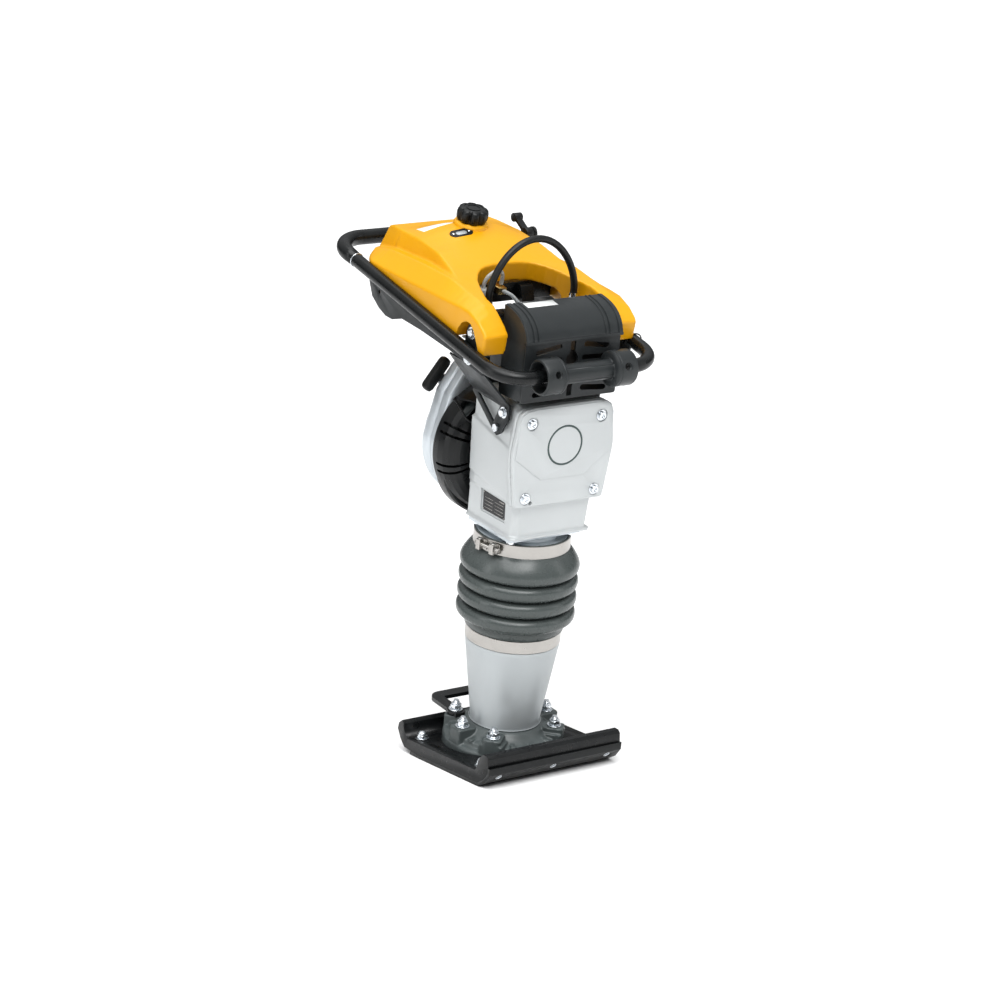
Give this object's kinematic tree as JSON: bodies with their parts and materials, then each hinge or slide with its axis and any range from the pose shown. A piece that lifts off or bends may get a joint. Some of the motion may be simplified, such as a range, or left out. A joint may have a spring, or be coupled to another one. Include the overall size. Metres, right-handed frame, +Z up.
{
  "type": "jumping jack rammer",
  "caption": "Upright tamping rammer: curled shoe, tapered foot, folded bellows, crankcase with engine, tank held in a looped tube handle with front roller",
  "frame": {"origin": "centre of the flat of the shoe's sole, on the ground", "axes": "+Z up, -Y is the front of the machine (roller and cover side), +X is to the right of someone facing the front; the ram leans forward 9 degrees from +Z toward -Y"},
  "size_m": [0.3525, 0.5821, 0.9726],
  "materials": {
    "shoe_black": "semi-gloss",
    "wear_steel": "worn",
    "zinc": "bright zinc",
    "cast_dark": "painted cast",
    "black_paint": "gloss",
    "foot_alu": "satin cast",
    "stainless": "brushed",
    "bellows_rubber": "semi-gloss",
    "case_silver": "satin silver",
    "engine_alu": "satin cast",
    "machined_steel": "machined",
    "black_plastic": "moulded",
    "grey_plastic": "moulded",
    "tank_yellow": "semi-gloss",
    "plate_grey": "satin",
    "rubber_black": "matt",
    "brass": "plain",
    "clear_plastic": "translucent grey",
    "muffler_steel": "heat-stained",
    "badge_grey": "satin",
    "label_black": "satin"
  },
  "bodies": {
    "foot": {"shoe": "shoe_black", "wear_plate": "wear_steel", "wear_screws": "zinc", "shoe_bolts": "zinc", "foot_flange": "cast_dark", "flange_nuts": "zinc", "carry_strap": "black_paint", "foot_tube": "foot_alu", "lower_band": "stainless", "spring_sleeve": "machined_steel", "sleeve_cap": "brass", "lower_spring": "machined_steel", "upper_spring": "machined_steel"},
    "upper": {"bellows": "bellows_rubber", "guide_cylinder": "engine_alu", "upper_band": "stainless", "band_latch": "zinc", "flange_bolts": "zinc", "crankcase": "case_silver", "front_cover": "case_silver", "cover_screws": "zinc", "cover_badge": "badge_grey", "nameplate": "label_black", "bearings": "machined_steel", "fan_shroud": "black_plastic", "engine_block": "engine_alu", "cylinder_head": "cast_dark", "valve_cover": "black_plastic", "recoil_cover": "engine_alu", "muffler": "muffler_steel", "muffler_guard": "plate_grey", "guard_hood": "grey_plastic", "air_cleaner": "black_plastic", "breather_hose": "rubber_black", "hose_ferrules": "zinc", "rubber_mounts": "rubber_black", "mount_bolts": "zinc"},
    "crank": {"crank_gear": "machined_steel"},
    "conrod": {"connecting_rod": "machined_steel"},
    "piston": {"ram_piston": "machined_steel"},
    "drum": {"clutch_drum": "machined_steel"},
    "engine": {"engine_shaft": "machined_steel", "clutch_shoes": "machined_steel"},
    "pulley": {"starter_pulley": "black_plastic"},
    "grip": {"starter_grip": "black_plastic"},
    "handle": {"handle_tube": "black_paint", "grip_sleeve": "rubber_black", "side_plates": "plate_grey", "plate_bolts": "zinc", "fuel_tank": "tank_yellow", "tank_bolts": "zinc", "level_gauge": "black_plastic", "throttle_bracket": "black_plastic", "throttle_cable": "rubber_black", "fuel_lines": "clear_plastic", "fuel_filter": "clear_plastic", "fuel_tap": "brass"},
    "roller": {"front_roller": "black_plastic"},
    "cap": {"fuel_cap": "black_plastic"},
    "lever": {"throttle_lever": "black_plastic"}
  },
  "joints": [
    {"name": "ram_stroke", "type": "slide", "parent": "foot", "child": "upper", "axis": [0, -0.1564, 0.9877], "range_m": [-0.035, 0.035], "stiffness_N_per_m": 30000, "springref_m": 0.015, "deforming": ["bellows", "upper_spring", "lower_spring"]},
    {"name": "crank_turn", "type": "hinge", "parent": "upper", "child": "crank", "pos_m": [0, -0.03786, 0.61763], "axis": [0, 0.9877, 0.1564], "continuous": true},
    {"name": "rod_turn", "type": "hinge", "parent": "crank", "child": "conrod", "pos_m": [0, -0.05579, 0.59656], "axis": [0, 0.9877, 0.1564], "continuous": true},
    {"name": "piston_slide", "type": "slide", "parent": "upper", "child": "piston", "axis": [0, -0.1564, 0.9877], "range_m": [-0.018, 0.018], "stiffness_N_per_m": 2000},
    {"name": "drum_spin", "type": "hinge", "parent": "upper", "child": "drum", "pos_m": [0, -0.02584, 0.54815], "axis": [0, 0.9877, 0.1564], "continuous": true},
    {"name": "engine_spin", "type": "hinge", "parent": "upper", "child": "engine", "pos_m": [0, 0.05119, 0.56035], "axis": [0, 0.9877, 0.1564], "continuous": true},
    {"name": "pulley_turn", "type": "hinge", "parent": "upper", "child": "pulley", "pos_m": [0, 0.13712, 0.57396], "axis": [0, 0.9877, 0.1564], "range_deg": [-720, 720]},
    {"name": "starter_pull", "type": "slide", "parent": "upper", "child": "grip", "axis": [-0.4494, 0.7267, 0.5196], "range_m": [0, 0.45], "stiffness_N_per_m": 25, "springref_m": -0.2},
    {"name": "handle_rock", "type": "hinge", "parent": "upper", "child": "handle", "pos_m": [0, -0.08647, 0.6241], "axis": [1, 0, 0], "range_deg": [-2, 2], "stiffness_Nm_per_rad": 2500},
    {"name": "roller_spin", "type": "hinge", "parent": "handle", "child": "roller", "pos_m": [0, -0.206, 0.7274], "axis": [1, 0, 0], "continuous": true},
    {"name": "cap_turn", "type": "hinge", "parent": "handle", "child": "cap", "pos_m": [0, 0.12973, 0.94442], "axis": [0, -0.3057, 0.9521], "range_deg": [0, 90]},
    {"name": "throttle_turn", "type": "hinge", "parent": "handle", "child": "lever", "pos_m": [0.148, 0.17167, 0.90537], "axis": [1, 0, 0], "range_deg": [0, 60]}
  ],
  "couplings": [
    {"joint": "rod_turn", "follows": "crank_turn", "ratio": -1},
    {"joint": "drum_spin", "follows": "crank_turn", "ratio": -3.6667},
    {"joint": "pulley_turn", "follows": "starter_pull", "rad_per_m": 25}
  ]
}
